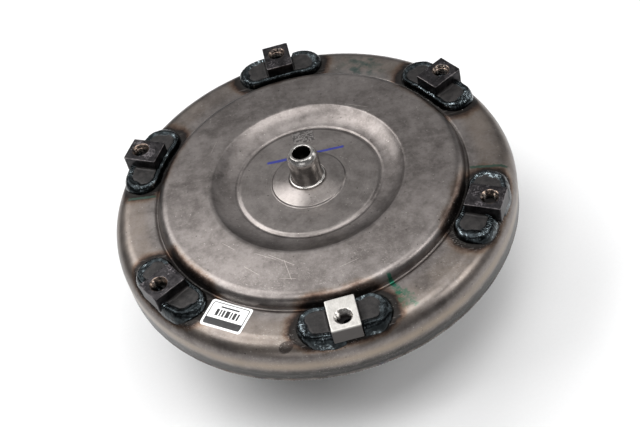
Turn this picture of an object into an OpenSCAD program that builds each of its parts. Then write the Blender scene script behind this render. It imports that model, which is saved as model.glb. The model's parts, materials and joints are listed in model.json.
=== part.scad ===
/* [Housing] */
// Diameter of the circle through the six lug holes
bolt_circle_d = 273; // [268:1:278]
// Height of the lug faces above the lower end of the hub
lug_face_z = 128; // [128:0.5:132]
// Outside diameter of the cover's skirt
cover_d = 300; // [299:0.5:302]
// Sheet thickness of the cover
cover_t = 4; // [3.5:0.1:4.5]
// Sheet thickness of the impeller shell
shell_t = 3.5; // [3:0.1:4]
// Radius of the cover's rounded rim
rim_r = 14.5; // [12:0.5:16]
// Outside diameter of the pilot
pilot_d = 23; // [20:0.5:24]
// Depth of the pilot's bore
pilot_bore_depth = 24; // [10:1:28]

/* [Lugs] */
// Number of lugs
lug_count = 6; // [6:1:6]
// Width of a lug block along the rim
block_w = 20.5; // [18:0.5:24]
// Length of a lug block from its hole inwards
block_in = 16; // [14:0.5:16]
// Length of a lug block from its hole outwards
block_out = 10.2; // [9:0.1:11]
// Height of a lug block above the cover's lug ring
block_h = 13; // [11:0.5:15]
// Tapping drill diameter of a lug hole
tap_d = 10.2; // [8.5:0.1:10.2]
// Diameter of a lug hole's countersink
sink_d = 12.8; // [12:0.1:13]
// Height of a lug pad above the cover's lug ring
pad_h = 5.2; // [4:0.2:7]
// Overall width of a lug pad along the rim
pad_w = 64; // [56:1:70]

/* [Hub] */
// Outside diameter of the impeller hub
hub_d = 47.6; // [46:0.1:48]
// Bore of the impeller hub
hub_bore_d = 39; // [37:0.5:40]
// Width of a drive slot
slot_w = 12; // [8:1:14]
// Depth of a drive slot
slot_depth = 16; // [10:1:20]

/* [Blades] */
// Number of impeller blades
impeller_blade_n = 31; // [23:1:35]
// Number of turbine blades
turbine_blade_n = 29; // [21:1:33]
// Number of stator blades
stator_blade_n = 13; // [11:1:17]
// Sheet thickness of the impeller and turbine blades
blade_t = 1; // [0.8:0.1:1.5]

/* [Damper and clutch] */
// Axial travel of the lock-up piston
piston_gap = 1; // [0.8:0.1:1.2]
// Number of damper springs
spring_n = 6; // [6:1:6]
// Outside diameter of a damper spring
spring_d = 13; // [11:0.5:13]
// Length of a damper spring
spring_len = 58; // [50:1:58]
// Wire diameter of a damper spring
spring_wire = 2.6; // [2:0.1:3]
// Number of drive teeth between damper and piston
tooth_n = 12; // [8:1:14]
// Number of one-way clutch rollers
roller_n = 10; // [8:1:10]

/* [Hidden] */
$fn = 96;
gap = 0.05;             // running gap of a fit
lug_r = bolt_circle_d / 2;
cover_r = cover_d / 2;
skirt_r = cover_r - cover_t;
ring_z = lug_face_z - block_h;                  // lug ring of the cover
friction_z = ring_z - cover_t;                  // flat inside the lug ring
rim_c = [cover_r - rim_r, ring_z - rim_r];      // centre of the rim's rounding
skirt_z = ring_z - 31;                          // lower edge of the cover
plateau_z = ring_z + 8.5;                       // outer edge of the plateau
crown_z = ring_z + 10.8;                        // inner edge of the plateau
floor_z = ring_z + 4.6;                         // floor round the pilot
seat_z = ring_z + 0.8;                          // inside of the cover at the pilot
seat_r = 12;                                    // pilot's seat in the cover
ring_in_r = 117.4;                              // inner edge of the lug ring
pilot_top = lug_face_z + 20.8;
pilot_bore_r = 6.6;
hub_r = hub_d / 2;

mid_z = 74;             // plane between impeller and turbine
shell_c = [104, 92];    // centre of the impeller shell's outer bend
shell_bend_r = skirt_r - gap - shell_c[0];
shell_z = shell_c[1] - shell_bend_r;            // lowest point of the impeller shell
shell_in_r = 22;        // radius of its inner bend
shell_in_c = [84, shell_z + shell_in_r];
neck_r = 10;            // radius of the bend back to the flange
neck_a = 30;            // how far the inner bend turns past its lowest point
turbine_c = [115.5, 75.5];
turbine_r = 21.4;
turbine_t = 2;
turbine_in_r = 14;
turbine_in_c = [86, turbine_c[1] + turbine_r - turbine_in_r];
turbine_neck_r = 8;
turbine_neck_a = 22;
core_in = 78;           // inner radius of the core rings
core_out = 126;         // outer radius of the core rings
core_r = 9;             // bend radius of the core rings
core_t = 1.2;

flange_z = last(shell_line(shell_t))[1];        // inside of the shell at the hub
hub_flange_z = flange_z + 3.5;
shell_flange_z = last(turbine_line(0))[1];      // top of the turbine shell at its hub

race_t = 1;             // thickness of a bearing race
needle_d = 2.2;
cage_t = 1.4;
bearing_h = 2 * race_t + needle_d + 2 * gap;
rear_bearing_z = hub_flange_z;
cap_z = rear_bearing_z + bearing_h;             // underside of the stator's rear cap
cap_t = 2.6;
cap_in_r = 24.5;
clutch_z = cap_z + cap_t;
clutch_h = 15.4;
front_cap_z = clutch_z + clutch_h;
middle_bearing_z = front_cap_z + cap_t;
turbine_hub_z = middle_bearing_z + bearing_h;
front_bearing_z = seat_z - bearing_h;
rear_bearing_r = [27, 37];
front_bearing_r = [17, 27];
rear_needle_n = 26;
front_needle_n = 18;

stator_bore_r = 46;
stator_hub_r = 53;
stator_ring_r = 73.5;
inner_race_r = 32;
roller_r = 4;
roller_c = inner_race_r + roller_r + gap;

damper_z = ring_z - 10.5; // middle of the damper
hub_plate_t = 2.6;
side_plate_t = 1.8;
side_gap = 0.8;
spring_c = 88.2;        // distance of a spring from the axis
window = [14.8, 60];    // opening for a spring, along the radius and across it
spacer_c = 70;          // distance of a spacer rivet from the axis
spacer_r = 3;
twist = 8;              // damper travel each way, degrees
plate_r = 103;
tooth_r = 109.2;
tooth_w = 14;
drive_r = [106, 108.5];
drive_z = damper_z - 6;
drive_t = 1.6;          // flange of the drive ring

lining_t = 1.2;
lining_r = [117, 134];
piston_t = 3;
lining_z = friction_z - piston_gap - lining_t;  // underside of the friction ring
piston_z = lining_z - piston_t;
piston_in_z = ring_z - 2;
journal_r = 30;

lug_names = [for (i = [1:lug_count]) each [str("lug_pad_", i), str("lug_block_", i)]];

// Points of an arc round c, from angle a to angle b
function arc(c, r, a, b, n = 8) =
    [for (i = [0:n]) let (t = a + (b - a) * i / n) [c[0] + r * cos(t), c[1] + r * sin(t)]];

// Points of a smooth bend from a to c that aims at b
function bend(a, b, c, n = 7) =
    [for (i = [0:n]) let (t = i / n) (1 - t) * (1 - t) * a + 2 * t * (1 - t) * b + t * t * c];

function reversed(points) = [for (i = [len(points) - 1:-1:0]) points[i]];

function last(points) = points[len(points) - 1];

// The outline of a curved slot with round ends: r to each side of radius c, ends centred at -a and a
function bean(c, r, a, n = 12, m = 10) =
    let (turn = 180 / m, tip = [c * cos(a), c * sin(a)], tail = [tip[0], -tip[1]])
    concat(arc([0, 0], c - r, -a, a, n),
           arc(tip, r, a + 180 - turn, a + turn, m - 2),
           arc([0, 0], c + r, a, -a, n),
           arc(tail, r, -a - turn, -a - 180 + turn, m - 2));

// A section in the radial plane, seen along a plane that passes the axis at distance d
function skewed(points, d) = [for (p = points) [sqrt(p[0] * p[0] - d * d), p[1]]];

module revolve(points) {
    rotate_extrude($fn = 180) polygon(points);
}

// A disc with a hole, from height z up
module ring(r_in, r_out, z, h) {
    translate([0, 0, z]) difference() {
        cylinder(r = r_out, h = h, $fn = 180);
        translate([0, 0, -1]) cylinder(r = r_in, h = h + 2, $fn = 180);
    }
}

// Its children n times round the axis
module around(n, start = 0) {
    for (i = [0:n - 1]) rotate([0, 0, start + i * 360 / n]) children();
}

/* ---- Housing ---- */

// The cover's outside, from the pilot to the lower edge of the skirt
cover_outside = concat(
    [[seat_r, ring_z + 8.9]],
    bend([13.4, ring_z + 8.8], [20, ring_z + 7.6], [27.2, ring_z + 5.3]),
    [[27.8, floor_z], [50, floor_z - 0.3], [53.6, ring_z + 3.4], [54.6, ring_z + 3.4]],
    bend([55.2, ring_z + 3.9], [64.5, ring_z + 5.2], [71, ring_z + 10]),
    bend([71.6, ring_z + 10.4], [72.4, crown_z], [74.6, crown_z - 0.1], 4),
    [[88, crown_z - 1.1]],
    bend([105, plateau_z], [112.2, plateau_z - 0.3], [113.9, ring_z + 1.6], 8),
    bend([114.1, ring_z - 0.4], [115, ring_z - 1.3], [116.4, ring_z - 0.3], 4),
    [[ring_in_r, ring_z]],
    arc(rim_c, rim_r, 90, 0, 12),
    [[cover_r, skirt_z]]);
cover_inside = concat(
    [[skirt_r, skirt_z]],
    arc(rim_c, rim_r - cover_t, 0, 90, 12),
    [[111.6, friction_z]],
    bend([111.2, friction_z + 0.2], [109, plateau_z - cover_t], [104, plateau_z - cover_t]),
    bend([78, crown_z - cover_t - 0.4], [73, crown_z - cover_t + 0.1], [60, seat_z]),
    [[56, seat_z], [seat_r, seat_z]]);

module front_cover() {
    color("dimgray") revolve(concat(cover_outside, cover_inside));
}

module pilot_hub() {
    r = pilot_d / 2;
    flare_r = 13.2;
    foot = ring_z + 8.9;
    bevel = 0.7;
    bore_low = pilot_top - pilot_bore_depth;
    color("silver") revolve(concat(
        [[0, seat_z], [seat_r, seat_z], [seat_r, foot], [flare_r, foot], [flare_r, foot + 0.5]],
        bend([flare_r - 0.3, foot + 0.8], [r, foot + 1.2], [r, foot + 4], 6),
        bend([r, pilot_top - 7.5], [r - 0.3, pilot_top - 2.6], [r - 2.6, pilot_top - 0.3], 8),
        [[r - 3.1, pilot_top], [pilot_bore_r + bevel, pilot_top], [pilot_bore_r, pilot_top - bevel],
         [pilot_bore_r, bore_low], [0, bore_low - 3.5]]));
}

module lug_block(i) {
    color(i == 4 ? "gainsboro" : "dimgray") rotate([0, 0, lug_angle(i)]) difference() {
        translate([lug_r - block_in, -block_w / 2, ring_z])
            cube([block_in + block_out, block_w, block_h]);
        translate([lug_r, 0, ring_z + 2]) cylinder(d = tap_d, h = block_h);
        translate([lug_r, 0, lug_face_z - (sink_d - tap_d) / 2])
            cylinder(d1 = tap_d, d2 = sink_d + 1, h = (sink_d - tap_d) / 2 + 0.5);
    }
}
function lug_angle(i) = 90 - (i - 1) * 360 / lug_count;

// A bean of weld-on plate that the block stands through
module lug_pad(i) {
    r_in = ring_in_r - 0.6;
    r_out = cover_r - 4.4;
    half = (r_out - r_in) / 2;
    middle = (r_out + r_in) / 2;
    end_a = asin((pad_w / 2 - half) / middle);
    low_z = rim_c[1];
    h = ring_z + pad_h - low_z;
    color("black") rotate([0, 0, lug_angle(i)]) difference() {
        translate([0, 0, low_z]) linear_extrude(h) polygon(bean(middle, half, end_a));
        pad_seat();
        translate([lug_r - block_in, -block_w / 2, 0])
            cube([block_in + pad_w, block_w, 2 * lug_face_z]);
    }
}

// The cover's outside as a solid, for cutting what sits on it
module pad_seat() {
    revolve(concat([[0, 0], [0, ring_z], [ring_in_r, ring_z]], arc(rim_c, rim_r, 90, 0, 12), [[cover_r, 0]]));
}

// A point of the impeller shell's outer bend at height z
function shell_point(z, t = 0) =
    let (r = shell_bend_r - t) [shell_c[0] + sqrt(r * r - (shell_c[1] - z) * (shell_c[1] - z)), z];

module seam_weld() {
    color("dimgray") revolve(concat(
        [[skirt_r, skirt_z]],
        bend([cover_r - 0.3, skirt_z], [cover_r + 2.2, skirt_z - 3.6], shell_point(skirt_z - 5.2, -gap)),
        [shell_point(skirt_z - 3, -gap), shell_point(skirt_z, -gap)]));
}

// The impeller shell's section, t inside its outer surface
function shell_line(t) =
    let (low = -90 - neck_a,
         reach = shell_in_r + neck_r,
         neck_c = [shell_in_c[0] + reach * cos(low), shell_in_c[1] + reach * sin(low)])
    concat(arc(shell_c, shell_bend_r - t, 0, -90, 14),
           arc(shell_in_c, shell_in_r - t, -90, low, 6),
           arc(neck_c, neck_r + t, 90 - neck_a, 90, 5));

module impeller_shell() {
    outer = shell_line(0);
    inner = shell_line(shell_t);
    hole_r = hub_r - relief + gap;
    color("slategray") revolve(concat(
        outer, [[hole_r, last(outer)[1]], [hole_r, last(inner)[1]]], reversed(inner)));
}

// A core ring's section below a plane at height 0
function core_line(r, end = 180) = concat(
    arc([core_out - core_r, 0], r, 0, -90, 6), arc([core_in + core_r, 0], r, -90, -end, 6));

function at_height(points, z, s = 1) = [for (p = points) [p[0], z + s * p[1]]];

module core_ring(z, s) {
    revolve(at_height(concat(core_line(core_r), reversed(core_line(core_r - core_t))), z, s));
}

impeller_top = mid_z - 0.7;
turbine_bottom = mid_z + 0.7;
hub_flange_t = 4;       // flange of the turbine hub
clear = 0.15;           // between a blade's edge and the shell or core it is brazed to

module impeller_core_ring() {
    color("gray") core_ring(impeller_top, 1);
}

// Plates that stand on the given section and pass the axis at distance d
module blades(section, n, d) {
    around(n) translate([0, d, 0]) rotate([90, 0, 0])
        linear_extrude(blade_t, center = true) polygon(skewed(section, d));
}

module impeller_blades() {
    shell = [for (p = shell_line(shell_t + clear)) if (p[1] < impeller_top - 1 && p[0] > 68) p];
    section = concat(
        [[core_out + clear, impeller_top], shell_point(impeller_top, shell_t + clear)], shell,
        [[61, flange_z + 0.6], [59, flange_z + 6.5], [77, mid_z - 7]],
        reversed(at_height(core_line(core_r + clear, 150), impeller_top)));
    color("gray") blades(section, impeller_blade_n, 12);
}

relief = 0.3;           // how far the hub is turned down above its journal
journal_top = shell_z - 4;

module impeller_hub() {
    r_in = hub_bore_d / 2;
    color("silver") difference() {
        revolve([[r_in + 1, 0], [hub_r - 1.2, 0], [hub_r, 1.2], [hub_r, journal_top],
                 [hub_r - relief, journal_top], [hub_r - relief, hub_flange_z],
                 [r_in + 1, hub_flange_z], [r_in, hub_flange_z - 1], [r_in, 1]]);
        for (s = [0, 1]) rotate([0, 0, 180 * s]) {
            translate([0, -slot_w / 2, -1]) cube([hub_d, slot_w, slot_depth - slot_w / 2 + 1]);
            translate([0, 0, slot_depth - slot_w / 2]) rotate([0, 90, 0]) cylinder(d = slot_w, h = hub_d);
        }
    }
}

// The plate round the hub's upper end that the rear bearing runs on
module hub_thrust_plate() {
    color("silver") ring(hub_r - relief + gap, 38, flange_z, hub_flange_z - flange_z);
}

module hub_weld() {
    z = flange_z - shell_t;
    r = hub_r - relief + gap;
    color("dimgray") revolve(concat([[r, z]], bend([r, z - 6], [r + 2.4, z - 2.4], [r + 7, z])));
}

module balance_weight() {
    t = 2.5;
    color("darkgray") rotate([0, 0, 205]) rotate_extrude(angle = 16, $fn = 180)
        translate([88, shell_z - t]) square([12, t]);
}

/* ---- Needle thrust bearings ---- */

module race(radii, z) {
    color("silver") ring(radii[0], radii[1], z, race_t);
}

module needles(radii, z, n) {
    color("gainsboro") around(n)
        translate([radii[0] + 1.6, 0, z + bearing_h / 2]) rotate([0, 90, 0])
            cylinder(d = needle_d, h = radii[1] - radii[0] - 3.2, $fn = 24);
}

module cage(radii, z, n) {
    slot = radii[1] - radii[0] - 3;
    color("goldenrod") difference() {
        ring(radii[0] + 0.4, radii[1] - 0.4, z + (bearing_h - cage_t) / 2, cage_t);
        around(n) translate([radii[0] + 1.5, -needle_d / 2 - 0.02, z])
            cube([slot, needle_d + 0.04, bearing_h]);
    }
}

module front_bearing_cover_race() {
    race(front_bearing_r, seat_z - race_t);
}

module front_bearing_turbine_race() {
    race(front_bearing_r, front_bearing_z);
}

module middle_bearing_turbine_race() {
    race(rear_bearing_r, turbine_hub_z - race_t);
}

module middle_bearing_stator_race() {
    race(rear_bearing_r, middle_bearing_z);
}

module rear_bearing_stator_race() {
    race(rear_bearing_r, cap_z - race_t);
}

module rear_bearing_hub_race() {
    race(rear_bearing_r, rear_bearing_z);
}

/* ---- Turbine ---- */

// The turbine shell's section, t inside its outer surface
function turbine_line(t) =
    let (high = 90 + turbine_neck_a,
         reach = turbine_in_r + turbine_neck_r,
         neck_c = [turbine_in_c[0] + reach * cos(high), turbine_in_c[1] + reach * sin(high)])
    concat(arc(turbine_c, turbine_r - t, 0, 90, 14),
           arc(turbine_in_c, turbine_in_r - t, 90, high, 6),
           arc(neck_c, turbine_neck_r + t, turbine_neck_a - 90, -90, 5));

rivet_c = 48;           // distance of a turbine rivet from the axis
rivet_r = 3;
rivet_n = 8;

module rivet_holes() {
    around(rivet_n) translate([rivet_c, 0, 0]) cylinder(r = rivet_r, h = 2 * lug_face_z, $fn = 32);
}

module turbine_shell() {
    outer = turbine_line(0);
    inner = turbine_line(turbine_t);
    hole_r = 42;
    color("steelblue") difference() {
        revolve(concat(outer, [[hole_r, shell_flange_z], [hole_r, shell_flange_z - turbine_t]],
                       reversed(inner)));
        rivet_holes();
    }
}

module turbine_core_ring() {
    color("gray") core_ring(turbine_bottom, -1);
}

module turbine_blades() {
    off = turbine_t + clear;
    section = concat(
        [[core_out + clear, turbine_bottom], [turbine_c[0] + turbine_r - off, turbine_bottom]],
        turbine_line(off), [[58, shell_flange_z - off], [58, mid_z + 13.5], [77, mid_z + 12]],
        reversed(at_height(core_line(core_r + clear, 150), turbine_bottom, -1)));
    color("gray") blades(section, turbine_blade_n, -16);
}

module turbine_hub() {
    flange_top = shell_flange_z - turbine_t;
    plate_z = damper_z - hub_plate_t / 2;
    plate_seat_r = 33;
    body_r = 36;
    seal_top = front_bearing_z - 1.4;
    seal_low = seal_top - 2;
    seal_r = journal_r - 2.5;
    teeth = 28;
    root_r = 15.4;
    crest_r = 14;
    bore_r = 13.2;
    spline_top = turbine_hub_z + 14;
    tooth_a = 360 / teeth / 4;
    color("silver") difference() {
        revolve([[bore_r, spline_top], [bore_r, front_bearing_z], [journal_r - 0.8, front_bearing_z],
                 [journal_r, front_bearing_z - 0.8], [journal_r, seal_top], [seal_r, seal_top],
                 [seal_r, seal_low], [journal_r, seal_low], [journal_r, plate_z + hub_plate_t],
                 [plate_seat_r, plate_z + hub_plate_t], [plate_seat_r, plate_z], [body_r, plate_z],
                 [body_r, flange_top], [54, flange_top], [54, flange_top - hub_flange_t],
                 [body_r + 2, flange_top - hub_flange_t], [body_r + 1.5, turbine_hub_z],
                 [crest_r, turbine_hub_z], [crest_r, spline_top]]);
        translate([0, 0, turbine_hub_z - 1]) linear_extrude(spline_top - turbine_hub_z - 1)
            around(teeth) polygon(concat([[0, 0]], arc([0, 0], root_r, -tooth_a, tooth_a, 2)));
        rivet_holes();
    }
}

module turbine_rivets() {
    low = shell_flange_z - turbine_t - hub_flange_t;
    head_h = 1.8;
    tail_h = 1.4;
    color("darkgray") around(rivet_n) translate([rivet_c, 0, 0]) {
        translate([0, 0, low]) cylinder(r = rivet_r, h = shell_flange_z - low, $fn = 32);
        translate([0, 0, shell_flange_z]) cylinder(r1 = rivet_r + 1.6, r2 = rivet_r + 0.2, h = head_h, $fn = 32);
        translate([0, 0, low - tail_h]) cylinder(r1 = rivet_r + 0.4, r2 = rivet_r, h = tail_h, $fn = 32);
    }
}

module piston_seal_ring() {
    color("black") ring(journal_r - 2.4, journal_r, front_bearing_z - 3.3, 1.8);
}

/* ---- Damper ---- */

module windows() {
    around(spring_n) translate([spring_c - window[0] / 2, -window[1] / 2, 0])
        cube([window[0], window[1], 2 * lug_face_z]);
}

spacer_start = 180 / spring_n;

module damper_hub_plate() {
    slot_r = spacer_r + 0.6;
    slot_a = twist + 0.6;
    color("slategray") difference() {
        ring(33, plate_r - 1, damper_z - hub_plate_t / 2, hub_plate_t);
        windows();
        around(spring_n, spacer_start)
            linear_extrude(2 * lug_face_z) polygon(bean(spacer_c, slot_r, slot_a, 4));
    }
}

module side_plate(z) {
    difference() {
        ring(60, plate_r, z, side_plate_t);
        windows();
        around(spring_n, spacer_start) translate([spacer_c, 0, 0])
            cylinder(r = spacer_r, h = 2 * lug_face_z, $fn = 32);
    }
}

front_plate_z = damper_z + hub_plate_t / 2 + side_gap;
rear_plate_z = damper_z - hub_plate_t / 2 - side_gap - side_plate_t;

module damper_front_plate() {
    color("gray") side_plate(front_plate_z);
}

// The rear plate carries the teeth that the piston's drive ring slides on
module damper_rear_plate() {
    color("gray") {
        side_plate(rear_plate_z);
        around(tooth_n) translate([plate_r - 1, -tooth_w / 2, rear_plate_z])
            cube([tooth_r - plate_r + 1, tooth_w, side_plate_t]);
    }
}

module damper_spacer_rivets() {
    top = front_plate_z + side_plate_t;
    color("darkgray") around(spring_n, spacer_start) translate([spacer_c, 0, 0]) {
        translate([0, 0, rear_plate_z]) cylinder(r = spacer_r, h = top - rear_plate_z, $fn = 32);
        translate([0, 0, top]) cylinder(r1 = 4.6, r2 = 3.4, h = 1.6, $fn = 32);
        translate([0, 0, rear_plate_z - 1.6]) cylinder(r1 = 3.4, r2 = 4.6, h = 1.6, $fn = 32);
    }
}

// A closely wound coil as a body of revolution, with one bulge a turn
module damper_springs() {
    turns = floor(spring_len / spring_wire);
    pitch = spring_len / turns;
    big = spring_d / 2;
    dip = spring_wire / 4;
    line = [for (i = [0:turns - 1]) each
        [[big - dip, i * pitch], [big, (i + 0.3) * pitch], [big, (i + 0.7) * pitch]]];
    color("saddlebrown") around(spring_n) translate([spring_c, spring_len / 2, damper_z])
        rotate([90, 0, 0]) difference() {
            rotate_extrude($fn = 48)
                polygon(concat([[0, 0]], line, [[big - dip, spring_len], [0, spring_len]]));
            translate([0, 0, -1]) cylinder(r = big - spring_wire, h = spring_len + 2, $fn = 32);
        }
}

/* ---- Lock-up clutch ---- */

module lockup_piston() {
    low = piston_z;
    sheet = 3.5;
    dish_z = seat_z - piston_gap - sheet - 0.6;
    collar_z = damper_z + hub_plate_t / 2 + 0.8;
    color("darkslategray") difference() {
        revolve(concat(
            [[journal_r + gap, collar_z], [35, collar_z], [35, dish_z - 1.5], [36.5, dish_z], [60, dish_z]],
            bend([62, dish_z], [68, piston_in_z], [74, piston_in_z], 5),
            bend([101, piston_in_z], [104, piston_in_z], [106, piston_in_z - 3.4], 4),
            [[109.5, low + 1], [111.5, low], [137, low], [137, low + piston_t], [112, low + piston_t]],
            bend([108.6, low + piston_t + 2.4], [105.6, piston_in_z + sheet], [101, piston_in_z + sheet], 4),
            bend([75, piston_in_z + sheet], [69, piston_in_z + sheet], [61, dish_z + sheet], 5),
            [[journal_r + gap, dish_z + sheet]]));
        piston_rivet_holes();
    }
}

piston_rivet_c = 113.6;
piston_rivet_r = 2;
piston_rivet_a = 180 / tooth_n;     // the rivets stand between the teeth

module piston_rivet_holes() {
    around(tooth_n, piston_rivet_a) translate([piston_rivet_c, 0, 0])
        cylinder(r = piston_rivet_r, h = 2 * lug_face_z, $fn = 32);
}

module friction_ring() {
    color("saddlebrown") ring(lining_r[0], lining_r[1], lining_z, lining_t);
}

// A flange under the piston with a notched wall round the damper's teeth
module piston_drive_ring() {
    notch_w = tooth_w + 0.8;
    flange_r = 119;
    notch_top = rear_plate_z + side_plate_t + 1.2;
    color("slategray") difference() {
        union() {
            ring(drive_r[0], drive_r[1], drive_z, piston_z - drive_z);
            ring(drive_r[1] - 0.5, flange_r, piston_z - drive_t, drive_t);
        }
        around(tooth_n) translate([drive_r[0] - 1, -notch_w / 2, drive_z - 1])
            cube([drive_r[1] - drive_r[0] + 2, notch_w, notch_top - drive_z + 1]);
        piston_rivet_holes();
    }
}

module piston_rivets() {
    low = piston_z - drive_t;
    head_h = 1.2;
    color("darkgray") around(tooth_n, piston_rivet_a) translate([piston_rivet_c, 0, 0]) {
        translate([0, 0, low]) cylinder(r = piston_rivet_r, h = piston_z + piston_t - low, $fn = 32);
        translate([0, 0, low - head_h])
            cylinder(r1 = piston_rivet_r + 0.2, r2 = piston_rivet_r + head_h, h = head_h, $fn = 32);
    }
}

/* ---- Stator and one-way clutch ---- */

// An aerofoil section, chord along Y, bowed towards X
function foil(chord, bow, fat) =
    let (n = 8,
         side = function (s) [for (i = [0:n]) let (
             t = (1 - cos(180 * i / n)) / 2,
             half = fat * (1.48 * sqrt(t) - 0.63 * t - 1.758 * t * t + 1.422 * t * t * t - 0.508 * t * t * t * t))
             [4 * bow * t * (1 - t) + s * half, chord * (0.5 - t)]])
    concat(side(1), reversed([for (i = [1:n - 1]) side(-1)[i]]));

snap_z = front_cap_z + 1.2;         // groove of the snap ring
snap_t = 1.6;

module stator_wheel() {
    low = clutch_z - 2.2;
    top = front_cap_z + 3.6;
    color("gainsboro") {
        difference() {
            ring(stator_bore_r, stator_hub_r, low, top - low);
            ring(stator_bore_r - 1, stator_bore_r + 1.2, snap_z, snap_t);
        }
        ring(stator_ring_r, stator_ring_r + 2.8, low + 4.5, top - low - 9);
        around(stator_blade_n) translate([stator_hub_r - 1, 0, (low + top) / 2])
            rotate([90, 0, 90]) linear_extrude(stator_ring_r - stator_hub_r + 1.6)
                rotate([0, 0, 32]) polygon(foil(17, 2.6, 2));
    }
}

// One wedge pocket of the outer race, opening on the inner race
module clutch_pocket() {
    translate([roller_c + 0.1, 0]) circle(r = roller_r + 0.15);
    rotate([0, 0, -5]) translate([roller_c + 0.2, 0]) circle(r = roller_r + 0.35);
    rotate([0, 0, -13]) translate([33, -3]) square([5.5, 6]);
}

module clutch_outer_race() {
    r_in = inner_race_r + 1.2;
    color("silver") difference() {
        ring(r_in, stator_bore_r, clutch_z, clutch_h);
        translate([0, 0, clutch_z - 1]) linear_extrude(clutch_h + 2) around(roller_n) clutch_pocket();
    }
}

module clutch_rollers() {
    color("gainsboro") around(roller_n) translate([roller_c, 0, clutch_z + 0.8])
        cylinder(r = roller_r, h = clutch_h - 1.6, $fn = 48);
}

// Folded leaf springs that push the rollers into their wedges
module clutch_springs() {
    folds = 4;
    pitch = 0.9;
    depth = 3.6;
    t = 0.3;
    behind = -16.4;         // degrees from the roller
    color("goldenrod") around(roller_n) rotate([0, 0, behind])
        translate([inner_race_r + 1.8, -0.6, clutch_z + 3])
        for (i = [0:folds - 1]) {
            a = (i % 2) * depth;
            b = depth - a;
            y = i * pitch;
            linear_extrude(clutch_h - 6)
                polygon([[a, y], [b, y + pitch], [b, y + pitch + t], [a, y + t]]);
        }
}

module stator_rear_cap() {
    color("tan") ring(cap_in_r, stator_bore_r - gap, cap_z, cap_t);
}

module stator_front_cap() {
    color("tan") {
        ring(cap_in_r, 41.5, front_cap_z, cap_t);
        ring(41, stator_bore_r - gap, front_cap_z, 1.1);
    }
}

module stator_snap_ring() {
    color("darkgray") difference() {
        ring(43, stator_bore_r + 1.1, snap_z + gap, snap_t - 2 * gap);
        translate([0, -5, front_cap_z]) cube([60, 10, 8]);
    }
}

module clutch_inner_race() {
    teeth = 36;
    crest_r = 22.5;
    root_r = 24;
    tooth_a = 360 / teeth / 4;
    low = clutch_z + 0.3;
    h = clutch_h - 0.6;
    color("silver") difference() {
        ring(crest_r, inner_race_r, low, h);
        translate([0, 0, low - 1]) linear_extrude(h + 2)
            around(teeth) polygon(concat([[0, 0]], arc([0, 0], root_r, -tooth_a, tooth_a, 2)));
    }
}

/* ---- Drawing ---- */

front_cover();
pilot_hub();
for (i = [1:lug_count]) {
    lug_pad(i);
    lug_block(i);
}
seam_weld();
impeller_shell();
impeller_blades();
impeller_core_ring();
impeller_hub();
hub_thrust_plate();
hub_weld();
balance_weight();
front_bearing_cover_race();
rear_bearing_hub_race();
turbine_shell();
turbine_blades();
turbine_core_ring();
turbine_hub();
turbine_rivets();
damper_hub_plate();
piston_seal_ring();
front_bearing_turbine_race();
middle_bearing_turbine_race();
damper_front_plate();
damper_rear_plate();
damper_spacer_rivets();
damper_springs();
lockup_piston();
friction_ring();
piston_drive_ring();
piston_rivets();
stator_wheel();
clutch_outer_race();
clutch_rollers();
clutch_springs();
stator_rear_cap();
stator_front_cap();
stator_snap_ring();
middle_bearing_stator_race();
rear_bearing_stator_race();
clutch_inner_race();
cage(front_bearing_r, front_bearing_z, front_needle_n);  // front_bearing_cage
needles(front_bearing_r, front_bearing_z, front_needle_n);  // front_bearing_needles
cage(rear_bearing_r, middle_bearing_z, rear_needle_n);  // middle_bearing_cage
needles(rear_bearing_r, middle_bearing_z, rear_needle_n);  // middle_bearing_needles
cage(rear_bearing_r, rear_bearing_z, rear_needle_n);  // rear_bearing_cage
needles(rear_bearing_r, rear_bearing_z, rear_needle_n);  // rear_bearing_needles
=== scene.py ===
"""Looks of the torque converter: camera, light, materials and the pieces that stand for its CAD nodes."""

import json
from math import asin, cos, hypot, pi, radians, sin, sqrt

import bmesh
import bpy
import numpy as np
from mathutils import Matrix, Vector, noise

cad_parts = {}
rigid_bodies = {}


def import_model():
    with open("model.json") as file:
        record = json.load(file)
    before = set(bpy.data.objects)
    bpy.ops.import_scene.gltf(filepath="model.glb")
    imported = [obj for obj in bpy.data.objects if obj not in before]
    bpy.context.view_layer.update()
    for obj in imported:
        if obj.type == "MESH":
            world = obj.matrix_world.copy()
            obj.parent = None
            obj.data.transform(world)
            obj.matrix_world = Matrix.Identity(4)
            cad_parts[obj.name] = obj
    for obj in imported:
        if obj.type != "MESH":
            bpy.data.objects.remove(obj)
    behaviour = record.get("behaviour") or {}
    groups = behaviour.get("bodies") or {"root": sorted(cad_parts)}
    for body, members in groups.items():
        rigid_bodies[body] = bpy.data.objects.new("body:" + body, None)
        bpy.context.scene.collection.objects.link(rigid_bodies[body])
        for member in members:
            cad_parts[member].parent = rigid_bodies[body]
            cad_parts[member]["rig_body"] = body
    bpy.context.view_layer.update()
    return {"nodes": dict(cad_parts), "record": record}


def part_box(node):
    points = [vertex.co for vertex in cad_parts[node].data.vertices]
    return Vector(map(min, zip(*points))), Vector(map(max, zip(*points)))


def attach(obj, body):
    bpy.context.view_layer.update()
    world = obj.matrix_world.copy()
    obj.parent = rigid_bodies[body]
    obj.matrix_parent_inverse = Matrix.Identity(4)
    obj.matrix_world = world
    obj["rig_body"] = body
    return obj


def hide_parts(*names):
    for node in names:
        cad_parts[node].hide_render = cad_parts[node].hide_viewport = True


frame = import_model()

MM = 0.001


def box_mm(node):
    low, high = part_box(node)
    return low / MM, high / MM


# ---- Sizes in millimetres, taken from the frame ----

cover_low, cover_high = box_mm("front_cover")
block_low, block_high = box_mm("lug_block_4")
pilot_low, pilot_high = box_mm("pilot_hub")

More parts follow.
